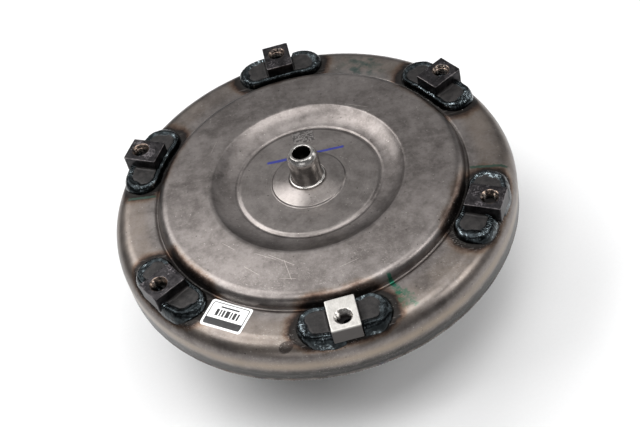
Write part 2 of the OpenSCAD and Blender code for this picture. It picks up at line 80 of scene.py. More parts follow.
COVER_R = cover_high.x
SKIRT_Z = cover_low.z
LUG_Z = block_high.z
RING_Z = block_low.z
PILOT_TOP = pilot_high.z
LUG_COUNT, BARE_LUG = 6, 4
BLOCK_W = block_high.x - block_low.x
BLOCK_OUT = 10.2
LUG_R = -block_low.y - BLOCK_OUT
BLOCK_IN = LUG_R + block_high.y
RIM_R = 14.5
RIM = (COVER_R - RIM_R, RING_Z - RIM_R)
CROWN_Z = RING_Z + 10.8
PLATEAU_Z = RING_Z + 8.5
FLOOR_Z = RING_Z + 4.6
COVER_T = 4.0
PAD_TOP = RING_Z + 5.2
PAD_R, PAD_HALF = 131.2, 14.4      # radius of a pad's spine round the axis, and half the pad's width
PAD_REACH = asin(19.0 / PAD_R)     # half the spine's length, as an angle
SHELL_BEND, SHELL_BEND_R = (104, 92), 41.95


def lug_angle(i):
    """Degrees; lug 1 is at +Y, lug 4 at -Y."""
    return 90 - (i - 1) * 360 / LUG_COUNT


# ---- Camera and lights ----

def new_object(name, data):
    """A new object in the scene."""
    item = bpy.data.objects.new(name, data)
    bpy.context.scene.collection.objects.link(item)
    return item


def make_camera():
    """Looks down on the lug faces from -Y, rolled as the photograph is."""
    azimuth, elevation, roll = radians(-0.634), radians(47.36), radians(-15.29)
    distance = 6.864 * LUG_R * MM
    aim_right, aim_down = 0.0720 * LUG_R * MM, 0.2214 * LUG_R * MM
    turn = (Matrix.Rotation(roll, 3, "Z") @ Matrix.Rotation(pi / 2 + elevation, 3, "X")
            @ Matrix.Rotation(azimuth, 3, "Z"))
    right, down, ahead = turn
    place = Vector((0, 0, LUG_Z * MM)) + right * aim_right + down * aim_down - ahead * distance
    data = bpy.data.cameras.new("camera")
    data.lens = 72.62
    data.sensor_width = 36
    data.clip_start = 0.01
    camera = new_object("camera", data)
    camera.matrix_world = Matrix.Translation(place) @ Matrix(
        (right, -down, -ahead)).transposed().to_4x4()
    bpy.context.scene.camera = camera


def make_studio():
    """A large softbox over the left shoulder, smaller ones round it, and a weak pale sky."""
    middle = Vector((0, 0, 0.11))
    for name, place, size, power in (
            ("softbox_left", (-0.62, 0.40, 1.02), (0.75, 0.75), 8.0),
            ("softbox_top", (0.12, -0.28, 1.22), (1.0, 0.55), 8.0),
            ("softbox_back", (-0.05, 0.40, 1.20), (1.1, 0.38), 2.6),
            ("wall_back", (0.0, 1.25, 0.92), (2.4, 0.8), 2.9),
            ("softbox_right", (1.05, 0.25, 0.50), (0.40, 0.8), 2.4),
            ("softbox_front", (-0.35, -1.25, 0.45), (0.9, 0.35), 1.6),
            ("rim_right", (0.80, -0.42, 0.78), (0.35, 0.35), 2.6),
            ("rim_left", (-0.70, -0.22, 1.02), (0.30, 0.35), 2.4)):
        data = bpy.data.lights.new(name, "AREA")
        data.shape = "RECTANGLE"
        data.size, data.size_y = size
        data.energy = power
        light = new_object(name, data)
        light.location = place
        light.rotation_euler = (middle - Vector(place)).to_track_quat("-Z", "Y").to_euler()
    world = bpy.data.worlds.new("studio")
    world.use_nodes = True
    background = world.node_tree.nodes["Background"]
    background.inputs["Color"].default_value = (0.97, 0.98, 1.0, 1)
    background.inputs["Strength"].default_value = 0.22
    bpy.context.scene.world = world
    bpy.context.scene.view_settings.view_transform = "Standard"


# ---- Shader values ----

class Value:
    """A number or vector in a material: arithmetic on it adds the nodes."""

    def __init__(self, tree, socket):
        self.tree, self.socket = tree, socket

    def math(self, operation, *others):
        """The result of a Math node on this value and the others."""
        node = self.tree.nodes.new("ShaderNodeMath")
        node.operation = operation
        for socket, value in zip(node.inputs, (self, *others)):
            plug(self.tree, value, socket)
        return Value(self.tree, node.outputs[0])

    def __add__(self, other):
        return self.math("ADD", other)

    def __sub__(self, other):
        return self.math("SUBTRACT", other)

    def __rsub__(self, other):
        return (self * -1) + other

    def __mul__(self, other):
        return self.math("MULTIPLY", other)

    __radd__, __rmul__ = __add__, __mul__

    def smooth(self, low, high, start=0.0, end=1.0):
        """From start at low to end at high, eased."""
        node = self.tree.nodes.new("ShaderNodeMapRange")
        node.interpolation_type = "SMOOTHSTEP"
        for name, value in zip(("Value", "From Min", "From Max", "To Min", "To Max"),
                               (self, low, high, start, end)):
            plug(self.tree, value, node.inputs[name])
        return Value(self.tree, node.outputs[0])

    def near(self, centre, width):
        """1 at centre, falling to 0 at width from it."""
        return (self - centre).math("ABSOLUTE").smooth(0, width, 1, 0)


def plug(tree, value, socket):
    """Links a Value to the socket, or sets the socket to a plain one."""
    if isinstance(value, Value):
        tree.links.new(value.socket, socket)
    else:
        socket.default_value = value


class Paint:
    """A material with its Object coordinates in millimetres."""

    def __init__(self, name):
        self.material = bpy.data.materials.new(name)
        self.material.use_nodes = True
        self.tree = self.material.node_tree
        self.shader = self.tree.nodes["Principled BSDF"]
        coordinates = self.tree.nodes.new("ShaderNodeTexCoord")
        scale = self.tree.nodes.new("ShaderNodeVectorMath")
        scale.operation = "SCALE"
        scale.inputs["Scale"].default_value = 1 / MM
        self.tree.links.new(coordinates.outputs["Object"], scale.inputs[0])
        self.at = Value(self.tree, scale.outputs[0])
        split = self.tree.nodes.new("ShaderNodeSeparateXYZ")
        self.tree.links.new(scale.outputs[0], split.inputs[0])
        self.x, self.y, self.z = (Value(self.tree, s) for s in split.outputs)
        self.bumps = None

    def radius(self):
        return (self.x * self.x + self.y * self.y).math("SQRT")

    def angle(self):
        """Radians round the axis."""
        return self.y.math("ARCTAN2", self.x)

    def vector(self, x=0.0, y=0.0, z=0.0):
        node = self.tree.nodes.new("ShaderNodeCombineXYZ")
        for socket, value in zip(node.inputs, (x, y, z)):
            plug(self.tree, value, socket)
        return Value(self.tree, node.outputs[0])

    def noise(self, size, detail=2.0, at=None, rough=0.5, warp=0.0):
        """Clouds about size millimetres wide, 0 to 1 round 0.5."""
        node = self.tree.nodes.new("ShaderNodeTexNoise")
        node.inputs["Scale"].default_value = 1 / size
        node.inputs["Detail"].default_value = detail
        node.inputs["Roughness"].default_value = rough
        node.inputs["Distortion"].default_value = warp
        plug(self.tree, at or self.at, node.inputs["Vector"])
        return Value(self.tree, node.outputs["Fac"])

    def cells(self, size, at=None):
        """Distance from the nearest of scattered points, one for each cube of that size."""
        node = self.tree.nodes.new("ShaderNodeTexVoronoi")
        node.inputs["Scale"].default_value = 1 / size
        plug(self.tree, at or self.at, node.inputs["Vector"])
        return Value(self.tree, node.outputs["Distance"])

    def random_cells(self, size, at=None):
        """One random number for each cube of that size."""
        snap = self.tree.nodes.new("ShaderNodeVectorMath")
        snap.operation = "SNAP"
        plug(self.tree, at or self.at, snap.inputs[0])
        snap.inputs[1].default_value = (size, size, size)
        node = self.tree.nodes.new("ShaderNodeTexWhiteNoise")
        self.tree.links.new(snap.outputs[0], node.inputs["Vector"])
        return Value(self.tree, node.outputs["Value"])

    def attribute(self, name):
        node = self.tree.nodes.new("ShaderNodeAttribute")
        node.attribute_name = name
        return Value(self.tree, node.outputs["Fac"])

    def blend(self, factor, first, second):
        """Colour first at factor 0, second at 1."""
        node = self.tree.nodes.new("ShaderNodeMix")
        node.data_type = "RGBA"
        plug(self.tree, factor, node.inputs[0])
        for value, socket in ((first, node.inputs[6]), (second, node.inputs[7])):
            plug(self.tree, value if isinstance(value, Value) else (*value, 1), socket)
        return Value(self.tree, node.outputs[2])

    def mark(self, colour, mask, ink, strength=0.9):
        """Colour with ink over it where mask is 1."""
        return self.blend(mask * strength, colour, ink)

    def ramp(self, factor, stops):
        """Colours at positions along factor."""
        node = self.tree.nodes.new("ShaderNodeValToRGB")
        plug(self.tree, factor, node.inputs[0])
        elements = node.color_ramp.elements
        while len(elements) < len(stops):
            elements.new(0.5)
        for element, (place, colour) in zip(elements, stops):
            element.position = place
            element.color = (*colour, 1)
        return Value(self.tree, node.outputs[0])

    def bump(self, height, depth):
        """Adds relief of that depth in millimetres where height goes from 0 to 1."""
        node = self.tree.nodes.new("ShaderNodeBump")
        node.inputs["Distance"].default_value = depth * MM
        plug(self.tree, height, node.inputs["Height"])
        if self.bumps:
            self.tree.links.new(self.bumps, node.inputs["Normal"])
        self.bumps = node.outputs[0]

    def done(self, colour=None, roughness=None, metallic=None, **fixed):
        for name, value in (("Base Color", colour), ("Roughness", roughness), ("Metallic", metallic)):
            if isinstance(value, tuple):
                value = (*value, 1)
            if value is not None:
                plug(self.tree, value, self.shader.inputs[name])
        for name, value in fixed.items():
            self.shader.inputs[name.replace("_", " ")].default_value = value
        if self.bumps:
            self.tree.links.new(self.bumps, self.shader.inputs["Normal"])
        return self.material


def polar(r, degrees):
    """X and Y of the point at distance r from the axis."""
    return r * cos(radians(degrees)), r * sin(radians(degrees))


# ---- The cover's outline ----

def arc(centre, r, start, end, n):
    """Points of an arc, from angle start to end in degrees."""
    steps = (radians(start + (end - start) * k / n) for k in range(n + 1))
    return [(centre[0] + r * cos(a), centre[1] + r * sin(a)) for a in steps]


def bend(a, b, c, n):
    """Points of a smooth bend from a to c that aims at b."""
    steps = (k / n for k in range(n + 1))
    return [tuple((1 - t) ** 2 * p + 2 * t * (1 - t) * q + t * t * r for p, q, r in zip(a, b, c))
            for t in steps]


def tidy(points):
    """The points without repeats."""
    kept = [points[0]]
    for p in points[1:]:
        if hypot(p[0] - kept[-1][0], p[1] - kept[-1][1]) > 1e-4:
            kept.append(p)
    return kept


SEAT_R = 12.0
SEAT_Z = RING_Z + 8.9
COVER_TOP = tidy(
    [(SEAT_R, SEAT_Z - 0.7), (13.4, SEAT_Z - 0.6)]
    + bend((13.6, SEAT_Z - 0.5), (13.8, SEAT_Z), (14.5, RING_Z + 8.75), 4)
    + bend((15, RING_Z + 8.65), (20, RING_Z + 7.6), (26.4, RING_Z + 5.75), 14)
    + bend((26.9, RING_Z + 5.6), (27.3, RING_Z + 4.6), (28.1, FLOOR_Z), 6)
    + [(34, FLOOR_Z - 0.06), (42, FLOOR_Z - 0.16)]
    + bend((50, FLOOR_Z - 0.3), (51.4, FLOOR_Z - 0.35), (52.2, FLOOR_Z - 0.75), 6)
    + bend((52.9, RING_Z + 3.6), (53.8, RING_Z + 3.2), (54.8, RING_Z + 3.6), 6)
    + bend((55.2, RING_Z + 3.9), (64.5, RING_Z + 5.2), (71, RING_Z + 10), 20)
    + bend((71.6, RING_Z + 10.4), (72.4, CROWN_Z), (74.6, CROWN_Z - 0.1), 8)
    + [(81, CROWN_Z - 0.6), (88, CROWN_Z - 1.1), (96, CROWN_Z - 1.66)]
    + bend((105, PLATEAU_Z), (112.2, PLATEAU_Z - 0.3), (113.9, RING_Z + 1.6), 22)
    + bend((114.05, RING_Z), (115, RING_Z - 1.6), (116.6, RING_Z - 0.4), 10)
    + bend((117.0, RING_Z - 0.15), (117.6, RING_Z), (118.6, RING_Z), 5)
    + [(124, RING_Z), (130, RING_Z)]
    + arc(RIM, RIM_R, 90, 0, 26))


def cover_height(r):
    """Height of the cover's outside at distance r from the axis."""
    top = [p for p in COVER_TOP if p[0] < COVER_R - 1e-6]
    return np.interp(r, [p[0] for p in top], [p[1] for p in top])


# ---- Meshes ----

def grid_faces(rows, columns, wrap_rows=False):
    """Quads between closed rows of points, which follow each other in the list of points."""
    row = np.arange(rows if wrap_rows else rows - 1)[:, None]
    column = np.arange(columns)[None, :]
    below = (row + 1) % rows
    beside = (column + 1) % columns
    corners = (row * columns + column, row * columns + beside,
               below * columns + beside, below * columns + column)
    return np.stack(np.broadcast_arrays(*corners), -1).reshape(-1, 4).tolist()


def add_piece(name, points, faces, material, body="housing", slot=None, replaces=(),
              crease=32, attributes=None, chosen=None):
    """A piece from points in millimetres. chosen gives each face its material's number."""
    mesh = bpy.data.meshes.new(name)
    mesh.from_pydata((np.asarray(points, float) * MM).tolist(), [], faces)
    for m in material if isinstance(material, list) else [material]:
        mesh.materials.append(m)
    mesh.polygons.foreach_set("use_smooth", [True] * len(mesh.polygons))
    if chosen is not None:
        mesh.polygons.foreach_set("material_index", chosen)
    for key, values in (attributes or {}).items():
        layer = mesh.attributes.new(key, "FLOAT", "POINT")
        layer.data.foreach_set("value", np.asarray(values, np.float32))
    turn_outward(mesh)
    mesh.set_sharp_from_angle(angle=radians(crease))
    piece = new_object(name, mesh)
    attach(piece, body)
    if replaces:
        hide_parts(*replaces)
    return piece


def turn_outward(mesh):
    """Makes the faces' normals point out of the piece."""
    work = bmesh.new()
    work.from_mesh(mesh)
    bmesh.ops.recalc_face_normals(work, faces=work.faces)
    work.to_mesh(mesh)
    work.free()


def revolve(outline, segments, change=None):
    """Points and faces of a closed body of revolution. change(r, a, z) may move the points.
    Where the outline meets the axis, its first and last points are single points."""
    outline = np.array(outline, float)
    poles = [k for k in (0, len(outline) - 1) if outline[k, 0] < 1e-9]
    rings = np.delete(outline, poles, 0)
    a = np.arange(segments) * 2 * pi / segments
    r, z = (np.repeat(rings[:, k, None], segments, 1) for k in (0, 1))
    a = np.repeat(a[None, :], len(rings), 0)
    if change:
        r, z = change(r, a, z)
    points = np.stack([r * np.cos(a), r * np.sin(a), z], -1).reshape(-1, 3).tolist()
    faces = grid_faces(len(rings), segments, wrap_rows=not poles)
    for k in poles:
        start = 0 if k == 0 else (len(rings) - 1) * segments
        points.append((0, 0, outline[k, 1]))
        faces += [(start + j, start + (j + 1) % segments, len(points) - 1) for j in range(segments)]
    return points, faces


def clouds(points, size, octaves=3, seed=0):
    """Smooth noise from -1 to 1 at each point, size in millimetres."""
    offset = Vector((seed * 17.3, seed * 5.1, seed * 9.7))
    return np.array([noise.fractal(Vector(p) / size + offset, 1.0, 2.0, octaves) for p in points])


def ease(x, low, high):
    """0 at low, 1 at high, eased between."""
    t = np.clip((np.asarray(x, float) - low) / (high - low), 0, 1)
    return t * t * (3 - 2 * t)


def turned(x, y, z, a):
    """Points turned by a radians round the axis."""
    return np.stack([x * cos(a) - y * sin(a), x * sin(a) + y * cos(a), z], -1)


# ---- Cover and pilot ----

def make_cover(material):
    inside = tidy(
        arc(RIM, RIM_R - COVER_T, 0, 90, 14)
        + [(111.6, RING_Z - COVER_T)]
        + bend((111.2, RING_Z - COVER_T + 0.2), (109, PLATEAU_Z - COVER_T), (104, PLATEAU_Z - COVER_T), 8)
        + bend((78, CROWN_Z - COVER_T - 0.4), (73, CROWN_Z - COVER_T + 0.1), (60, RING_Z + 0.8), 10)
        + [(56, RING_Z + 0.8), (SEAT_R, RING_Z + 0.8)])
    outline = (COVER_TOP + [(COVER_R, SKIRT_Z + 8), (COVER_R, SKIRT_Z + 0.6), (COVER_R - 0.6, SKIRT_Z),
                            (COVER_R - COVER_T, SKIRT_Z)] + inside)
    add_piece("front_cover_pressing", *revolve(outline, 540), material, slot="stamped_steel",
              replaces=["front_cover"], crease=50)


def make_pilot(material):
    r = (pilot_high.x - pilot_low.x) / 2 - 1.7
    bore_r, bore_low = 6.6, PILOT_TOP - 24
    outline = tidy(
        [(0, SEAT_Z - 3), (SEAT_R - 0.05, SEAT_Z - 3), (SEAT_R - 0.05, SEAT_Z - 0.65),
         (13.2, SEAT_Z - 0.65)]
        + bend((13.2, SEAT_Z + 0.1), (13.2, SEAT_Z + 0.6), (12.7, SEAT_Z + 0.7), 5)
        + bend((12.4, SEAT_Z + 0.8), (r, SEAT_Z + 1.2), (r, SEAT_Z + 4), 8)
        + [(r, SEAT_Z + 6), (r, SEAT_Z + 10), (r, PILOT_TOP - 8)]
        + bend((r, PILOT_TOP - 7.5), (r - 0.3, PILOT_TOP - 2.6), (r - 2.6, PILOT_TOP - 0.3), 16)
        + bend((r - 2.7, PILOT_TOP - 0.2), (r - 2.9, PILOT_TOP), (r - 3.2, PILOT_TOP), 4)
        + bend((bore_r + 0.9, PILOT_TOP), (bore_r + 0.1, PILOT_TOP), (bore_r, PILOT_TOP - 0.9), 6)
        + [(bore_r, PILOT_TOP - 6), (bore_r, PILOT_TOP - 14), (bore_r, bore_low + 0.3),
           (bore_r - 0.3, bore_low), (0, bore_low - 3.5)])
    add_piece("pilot_turned", *revolve(outline, 192), material, slot="machined_steel",
              replaces=["pilot_hub"], crease=40)


# ---- Lugs ----

def block_outline(corner, w_steps, l_steps):
    """The block's rounded outline round its hole, as (outward, along the rim)."""
    half = BLOCK_W / 2
    points = []
    corners = ((BLOCK_OUT, half), (-BLOCK_IN, half), (-BLOCK_IN, -half), (BLOCK_OUT, -half))
    for k, (x, y) in enumerate(corners):
        centre = (x - corner if x > 0 else x + corner, y - corner if y > 0 else y + corner)
        points += arc(centre, corner, 90 * k, 90 * k + 90, 5)
        n = l_steps if k % 2 == 0 else w_steps
        x1, y1 = ((-BLOCK_IN + corner, y), (x, -half + corner), (BLOCK_OUT - corner, y),
                  (x, half - corner))[k]
        x0, y0 = points[-1]
        points += [(x0 + (x1 - x0) * j / n, y0 + (y1 - y0) * j / n) for j in range(1, n)]
    return np.array(points)


def make_block(i, materials):
    """A lug block with its edges eased and a real M12 thread."""
    edge, bevel = 0.8, 0.45
    sink_r, minor_r, thread, pitch = 6.4, 5.1, 0.85, 1.75
    drill_low = RING_Z + 2
    full = block_outline(edge, 28, 36)
    centre = np.array([(BLOCK_OUT - BLOCK_IN) / 2, 0])
    size = np.array([(BLOCK_OUT + BLOCK_IN) / 2, BLOCK_W / 2])
    angle = np.arctan2(full[:, 1], full[:, 0])
    circle = np.stack([np.cos(angle), np.sin(angle)], -1)
    rows, heights, kinds = [], [], []

    def row(plan, z, kind=0):
        rows.append(np.asarray(plan, float))
        heights.append(np.broadcast_to(np.asarray(z, float), len(full)))
        kinds.append(kind)

    for k in range(9):
        row(full, RING_Z - 0.3 + (LUG_Z - bevel - RING_Z + 0.3) * k / 8)
    for k in range(1, 5):
        a = pi / 2 * k / 4
        shrink = bevel * (1 - cos(a))
        row(centre + (full - centre) * (1 - shrink / size), LUG_Z - bevel + bevel * sin(a))
    top = rows[-1]
    for k in range(1, 10):
        t = (k / 9) ** 0.8
        row(top * (1 - t) + circle * (sink_r + 0.15) * t, LUG_Z)
    row(circle * sink_r, LUG_Z - 0.06, 1)
    for k in range(1, 4):
        row(circle * (sink_r - (sink_r - minor_r) * k / 3), LUG_Z - 0.06 - (sink_r - minor_r) * k / 3, 1)
    start = heights[-1][0]
    steps = int((start - drill_low) / pitch * 8)
    for k in range(1, steps + 1):
        z = start - (start - drill_low) * k / steps
        turn = (z / pitch - angle / (2 * pi)) % 1
        cut = 1 - np.abs(2 * turn - 1)
        fade = ease(start - z, 0, 0.8)
        row(circle * (minor_r + thread * np.clip(cut * 1.3 - 0.1, 0, 1) * fade)[:, None], z, 1)
    row(circle * minor_r * 0.5, drill_low - 1.4, 1)
    plan, z = np.concatenate(rows), np.concatenate(heights)
    a = radians(lug_angle(i))
    points = turned(LUG_R + plan[:, 0], plan[:, 1], z, a)
    outer = np.repeat(np.array(kinds) == 0, len(full))
    dents = clouds(points, 3.0, 3, seed=i) * 0.06 + clouds(points, 9.0, 2, seed=i + 20) * 0.07
    rough = np.where(outer, dents * (0.35 if i == BARE_LUG else 1.0), 0)
    push = plan - centre
    lean = push / np.maximum(np.abs(push).max(1, keepdims=True), 1e-6)
    sink = np.where(z > LUG_Z - 0.2, -np.abs(rough), 0)
    points += turned(rough * lean[:, 0], rough * lean[:, 1], sink, a)
    wear = np.clip(1 - np.min(size - np.abs(plan - centre), 1) / 0.9, 0, 1)
    wear = np.where(outer, np.maximum(wear * (z > LUG_Z - 0.6), (np.abs(z - LUG_Z + 0.2) < 0.4) * wear), 0)
    faces = grid_faces(len(rows), len(full))
    n, count = len(full), len(points)
    tip = [LUG_R * cos(a), LUG_R * sin(a)]
    points = points.tolist() + [tip + [drill_low - 2.2], tip + [RING_Z - 0.3]]
    faces += [(count - n + j, count - n + (j + 1) % n, count) for j in range(n)]
    faces += [(j, (j + 1) % n, count + 1) for j in range(n)]
    chosen = [1 if kinds[min(f // n + 1, len(kinds) - 1)] else 0 for f in range((len(rows) - 1) * n)]
    chosen += [1] * n + [0] * n
    add_piece(f"lug_block_{i}_forged", points, faces, materials, replaces=[f"lug_block_{i}"],
              slot="machined_steel" if i == BARE_LUG else "lug_steel", crease=40,
              attributes={"wear": np.append(wear, [0, 0])}, chosen=chosen)


# Where each pad swells outward and where its outer side is notched, along the rim in millimetres
PAD_SHAPES = {1: ((16, 2.0), (-12, -3)), 2: ((18, 1.5), (2, 10)), 3: ((12, 2.2), (-11, -2)),
              4: ((-12, 2.0), (-1, 10)), 5: ((14, 1.2), (-10, -1)), 6: ((-14, 1.8), (1, 9))}


def make_pad(i, material):
    """A lug pad: a flat plate in a rippled weld bead, which the block stands on."""
    swell, notch = PAD_SHAPES[i]
    side_n, cap_n = 150, 56
    a = radians(lug_angle(i))

    def half_way(sign):
        """Spine angle and lean of the points along a long side and its round ends."""
        quarter = sign * pi / 2
        start = [(-PAD_REACH, -PAD_REACH - quarter * (1 - k / cap_n)) for k in range(cap_n)]
        side = [(-PAD_REACH + 2 * PAD_REACH * k / side_n,) * 2 for k in range(side_n)]
        end = [(PAD_REACH, PAD_REACH + quarter * k / cap_n) for k in range(cap_n + 1)]
        return start + side + end

    outer_way = half_way(1)
    inner_way = [(f, n + pi) for f, n in half_way(-1)]
    last = len(outer_way) - 1
    ring_list = outer_way + inner_way[last - 1:0:-1]
    foot = np.array([f for f, _ in ring_list])
    lean = np.array([n for _, n in ring_list])
    count = len(ring_list)
    outward = np.cos(lean - foot)

    def place(distance):
        """X and Y of the points at that distance from the spine."""
        x = PAD_R * np.cos(foot) + distance * np.cos(lean)
        y = PAD_R * np.sin(foot) + distance * np.sin(lean)
        return x, y

    x0, y0 = place(PAD_HALF)
    flat = np.stack([x0, y0, np.zeros(count)], -1)
    edge = PAD_HALF + 0.55 * clouds(flat, 11, 3, seed=i) + 0.2 * clouds(flat, 3.5, 2, seed=i + 7)
    out = ease(outward, 0.3, 0.9)
    edge += out * swell[1] * np.exp(-((y0 - swell[0]) / 11) ** 2)
    edge -= (out * 5.0 * ease(y0, notch[0] - 1.5, notch[0] + 1.0)
             * ease(-y0, -notch[1] - 1.5, -notch[1] + 1.0))
    width = np.interp(outward, [-1, -0.4, 0.0, 0.5, 1], [4.6, 6.5, 8.6, 8.6, 7.0])
    width += 0.9 * clouds(flat, 14, 2, seed=i + 40)
    step = np.hypot(np.diff(np.append(x0, x0[0])), np.diff(np.append(y0, y0[0])))
    length = np.concatenate([[0], np.cumsum(step)[:-1]])
    total = length[-1] + step[-1]
    phase = length / total * round(total / 1.7) * 2 * pi
    lumps_at = 6.0 * sin(i * 2.4)
    base = cover_height(np.hypot(*place(edge))) - 0.12

    points, bead = [], []
    depths = np.concatenate([[0.0, 0.06, 0.2, 0.4, 0.65], np.arange(0.95, 10.6, 0.34)])
    for d in depths:
        x, y = place(edge - d)
        t = d / width
        rise = np.sqrt(1 - (1 - np.clip(t / 0.62, 0, 1)) ** 2)
        swollen = 0.75 * (1 - ease(t, 0.5, 1.0)) - 0.22 * np.exp(-((t - 1.04) / 0.07) ** 2)
        top = PAD_TOP - 0.35 + swollen
        z = base + (top - base) * rise
        on_bead = ease(t, 0.02, 0.12) * (1 - ease(t, 0.88, 1.0))
        crescent = 2.2 * (1 - (2 * np.clip(t, 0, 1) - 1) ** 2)
        flat = np.stack([x, y, z], -1)
        drift = 1.6 * clouds(flat, 9, 2, seed=i + 60)
        ripple = 0.11 * np.sin(phase + crescent + drift) * on_bead
        rough = 0.16 * clouds(flat, 2.6, 3, seed=i + 80) * on_bead
        plate = 0.05 * clouds(flat, 6, 3, seed=i + 90) * ease(t, 0.9, 1.1)
        lumpy = np.exp(-((y - lumps_at) / 6) ** 2) * ease(-outward, 0.2, 0.8) * (1 - ease(t, 0.9, 1.3))
        lumps = 0.8 * np.maximum(clouds(flat, 3.2, 3, seed=i + 30), -0.3) * lumpy * ease(d, 0.1, 1)
        ledge = 0.45 * np.exp(-((np.abs(y) - BLOCK_W / 2 - 1.5) / 0.55) ** 2) * ease(t, 1.0, 1.2)
        points.append(np.stack([x, y, z + ripple + rough + plate + lumps + ledge], -1))
        bead.append(1 - ease(t + 0.06 * clouds(flat, 2.0, 2, seed=i + 50), 0.9, 1.06))

    # The underside: down past the bead's edge, then in, to close inside the cover's sheet
    under = points[0].copy()
    under[:, 2] -= 0.5
    x, y = place(edge - 9.5)
    points = [np.stack([x, y, np.full(count, RING_Z - 0.4)], -1), under] + points
    bead = [np.ones(count)] * 2 + bead
    rings = len(points)
    points = turned(*np.concatenate(points).T, a)
    faces = grid_faces(rings, count)
    for start in ((rings - 1) * count, 0):
        pairs = [(start + k, start + (count - k) % count) for k in range(last + 1)]
        faces.append((pairs[0][0], pairs[1][0], pairs[1][1]))
        faces += [(p[0], q[0], q[1], p[1]) for p, q in zip(pairs[1:-2], pairs[2:-1])]
        faces.append((pairs[-2][0], pairs[-1][0], pairs[-2][1]))
    add_piece(f"lug_pad_{i}_welded", points, faces, material, slot="weld_scale",
              replaces=[f"lug_pad_{i}"], crease=60, attributes={"bead": np.concatenate(bead)})


# ---- Welds, shells and springs ----

def shell_outline(inset):
    """The impeller shell's section, inset from its outer side, from the rim to the hub."""
    low_z = SHELL_BEND[1] - SHELL_BEND_R
    in_c, in_r, neck_r, neck_a = (84, low_z + 22), 22, 10, 30
    low = -90 - neck_a
    neck_c = (in_c[0] + (in_r + neck_r) * cos(radians(low)), in_c[1] + (in_r + neck_r) * sin(radians(low)))
    return tidy(arc(SHELL_BEND, SHELL_BEND_R - inset, 0, -90, 48) + arc(in_c, in_r - inset, -90, low, 14)
                + arc(neck_c, neck_r + inset, 90 - neck_a, 90, 10))


SHELL_T = 3.5
WELD_R = 23.55


def make_impeller_shell(material):
    outer, inner = shell_outline(0), shell_outline(SHELL_T)
    out_z, in_z = outer[-1][1], inner[-1][1]
    outline = outer + [(40, out_z), (WELD_R, out_z), (WELD_R, in_z), (40, in_z)] + inner[::-1]
    blade_n, mid = 31, (101, 116)

    def dimples(r, a, z):
        """Short dents where the blades' tabs are rolled in, in two rings."""
        turn = (a * blade_n / (2 * pi)) % 1 - 0.5
        across = turn * 2 * pi * r / blade_n
        dent = np.zeros_like(r)
        for centre in mid:
            slant = across - 0.18 * (r - centre)
            dent += np.exp(-(slant / 1.5) ** 2) * np.exp(-((r - centre) / 4.2) ** 4)
        first = np.arange(len(outline))[:, None] < len(outer)
        return r, z + 0.55 * dent * first

    add_piece("impeller_shell_pressing", *revolve(outline, blade_n * 22, dimples), material,
              slot="shell_steel", replaces=["impeller_shell"], crease=45)


def make_weld(name, node, outline, segments, pitch_n, depth, material, seed):
    """A weld bead: its first points lie on the metal, the rest bulge and carry ripples."""
    n = len(outline)

    def ripples(r, a, z):
        across = np.linspace(0, 1, n)[:, None]
        window = np.sin(pi * across) ** 0.5
        flat = np.stack([r * np.cos(a), r * np.sin(a), z], -1)
        drift = clouds(flat.reshape(-1, 3), 12, 2, seed).reshape(r.shape)
        wave = np.sin(pitch_n * a + 2.0 * (2 * across - 1) ** 2 + 1.5 * drift)
        push = depth * window * (wave + 1.2 * drift)
        return r + push * 0.5, z - push * 0.8

    add_piece(name, *revolve(outline, segments, ripples), material, slot="weld_steel",
              replaces=[node], crease=60)


def make_welds(material):
    def on_shell(z):
        """The section's point just inside the shell's outer side at height z."""
        return (SHELL_BEND[0] + sqrt(SHELL_BEND_R ** 2 - (SHELL_BEND[1] - z) ** 2) - 0.2, z)

    seam = tidy([(COVER_R - 3.4, SKIRT_Z + 0.2)] + bend(
        (COVER_R - 0.35, SKIRT_Z + 0.15), (COVER_R + 1.4, SKIRT_Z - 3.4), on_shell(SKIRT_Z - 5.2), 9)
        + [on_shell(SKIRT_Z - 3.4)])
    make_weld("seam_weld_bead", "seam_weld", seam, 2700, 420, 0.14, material, 3)
    z = shell_outline(0)[-1][1]
    hub = tidy([(WELD_R, z + 0.2)] + bend((WELD_R - 0.05, z - 5.4), (WELD_R + 2.4, z - 2.4),
                                          (WELD_R + 7, z + 0.1), 10))
    make_weld("hub_weld_bead", "hub_weld", hub, 640, 84, 0.16, material, 4)


